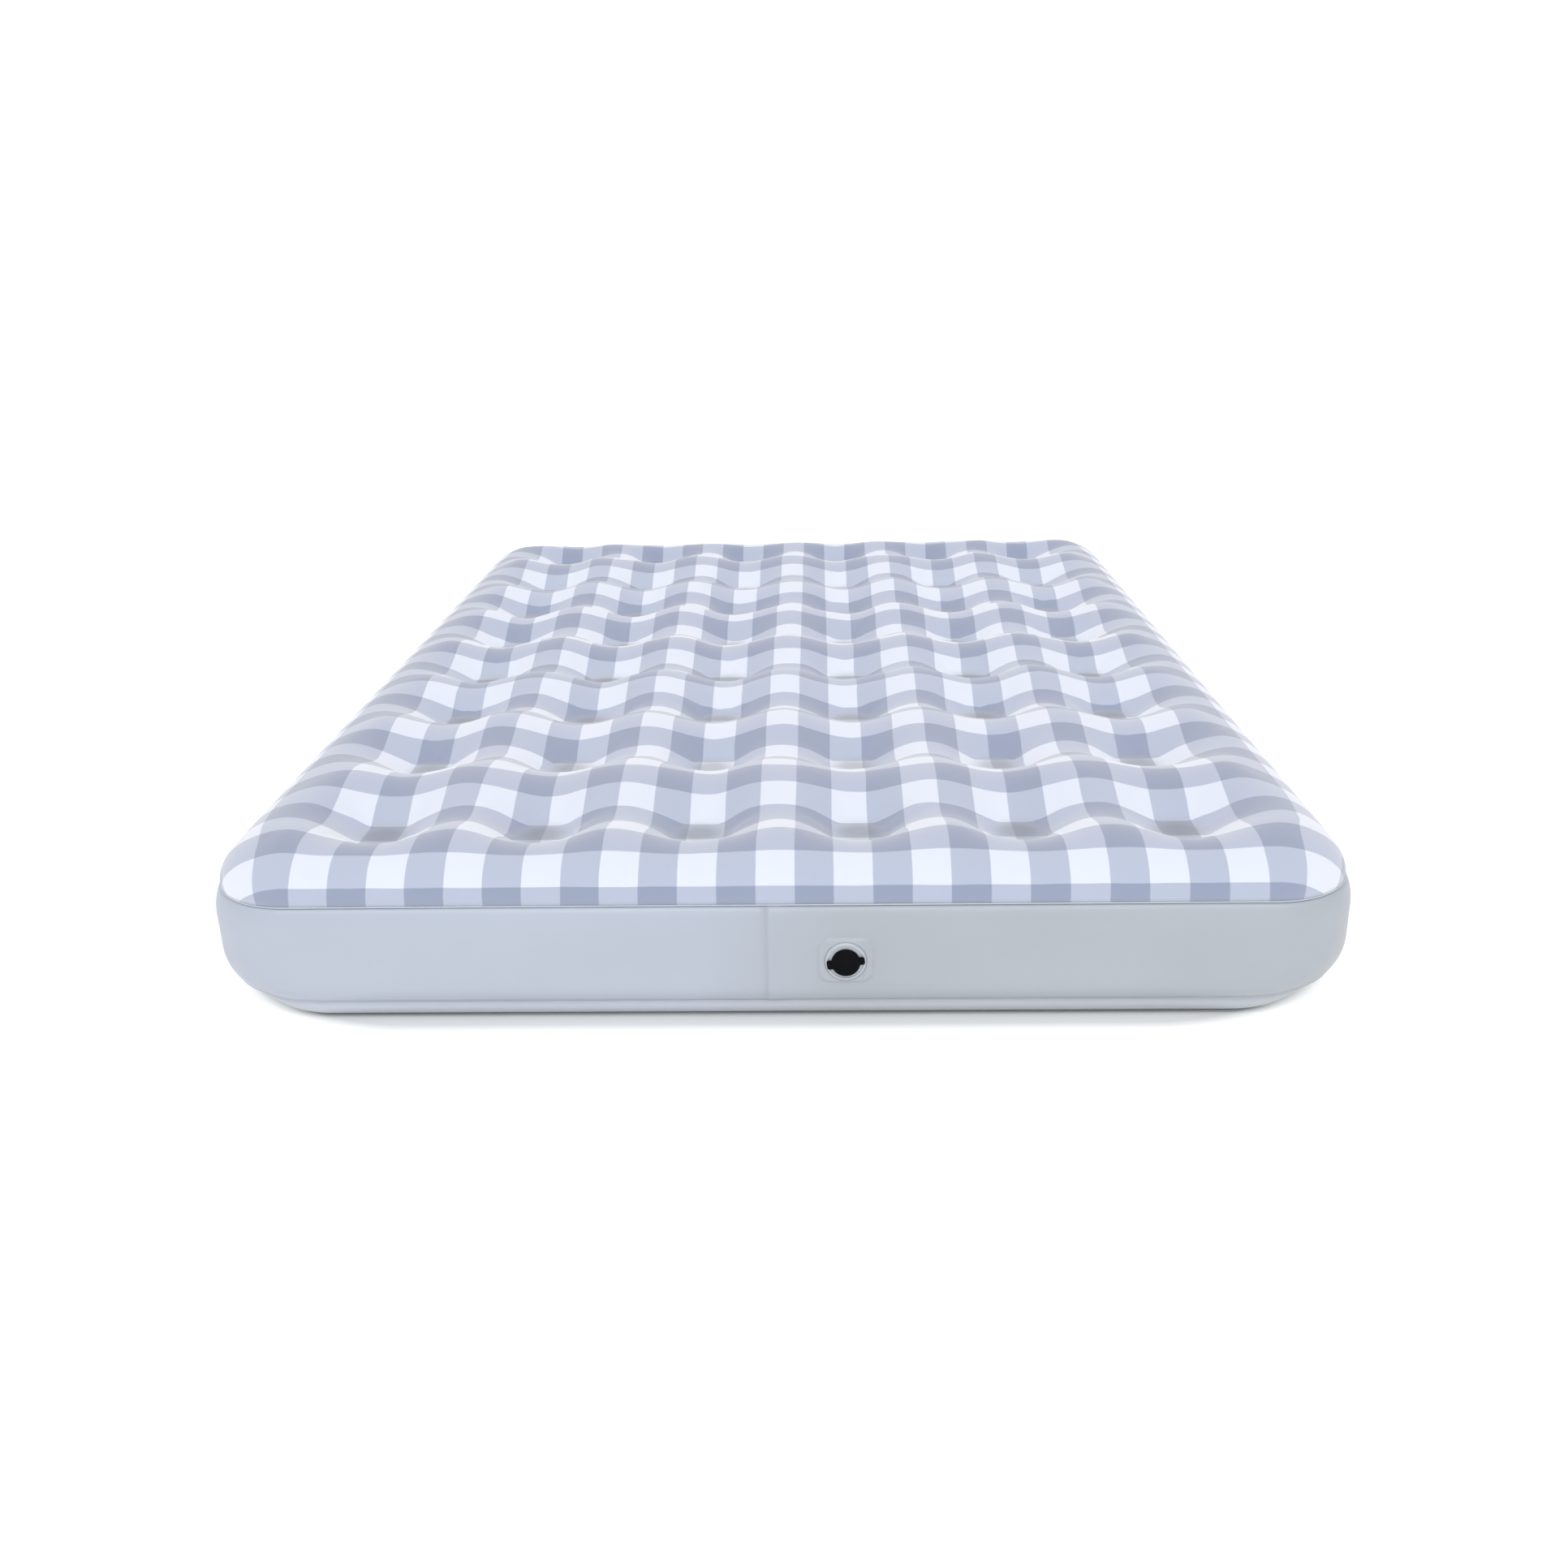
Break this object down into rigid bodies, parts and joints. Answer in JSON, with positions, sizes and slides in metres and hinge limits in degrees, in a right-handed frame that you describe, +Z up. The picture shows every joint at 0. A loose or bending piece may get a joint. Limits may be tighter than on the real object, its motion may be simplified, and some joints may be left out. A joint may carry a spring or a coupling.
{
  "type": "air mattress",
  "caption": "Inflated double-width air bed with a quilted checked top, plain pale walls, inner tie coils and a filling valve with a twist-off cap low in one end wall.",
  "frame": {"origin": "on the floor, under the middle of the bed", "axes": "+X across the bed, +Y along the bed from the valve end to the far end, +Z up"},
  "size_m": [1.524, 2.0416, 0.24],
  "materials": {
    "printed_flock": "flocked sheet printed with a pale grey-blue and white gingham",
    "wall_film": "satin, pale grey-blue soft vinyl",
    "coil_film": "plain, milky soft vinyl",
    "valve_film": "satin, pale moulded soft vinyl",
    "black_plastic": "moulded, fine matt",
    "grey_plastic": "moulded",
    "flap_film": "soft, smooth",
    "seal_rubber": "soft, smooth"
  },
  "bodies": {
    "bed": {"top_sheet": "printed_flock", "side_wall": "wall_film", "bottom_sheet": "wall_film", "coil_row_1": "coil_film", "coil_row_2": "coil_film", "coil_row_3": "coil_film", "coil_row_4": "coil_film", "coil_row_5": "coil_film", "coil_row_6": "coil_film", "coil_row_7": "coil_film", "coil_row_8": "coil_film", "top_weld_rings": "coil_film", "low_weld_rings": "coil_film", "valve_base": "valve_film", "valve_body": "valve_film", "body_gasket": "seal_rubber", "flap_pin": "grey_plastic"},
    "cap_seal": {"cap_gasket": "seal_rubber"},
    "cap": {"valve_cap": "black_plastic"},
    "flap": {"check_flap": "flap_film"}
  },
  "joints": [
    {"name": "cap_pull", "type": "slide", "parent": "bed", "child": "cap_seal", "axis": [0, -1, 0], "range_m": [0, 0.12]},
    {"name": "cap_turn", "type": "hinge", "parent": "cap_seal", "child": "cap", "pos_m": [0.088, -1.016, 0.092], "axis": [0, -1, 0], "range_deg": [0, 90]},
    {"name": "flap_swing", "type": "hinge", "parent": "bed", "child": "flap", "pos_m": [0.088, -0.991, 0.107], "axis": [1, 0, 0], "range_deg": [0, 65]}
  ]
}
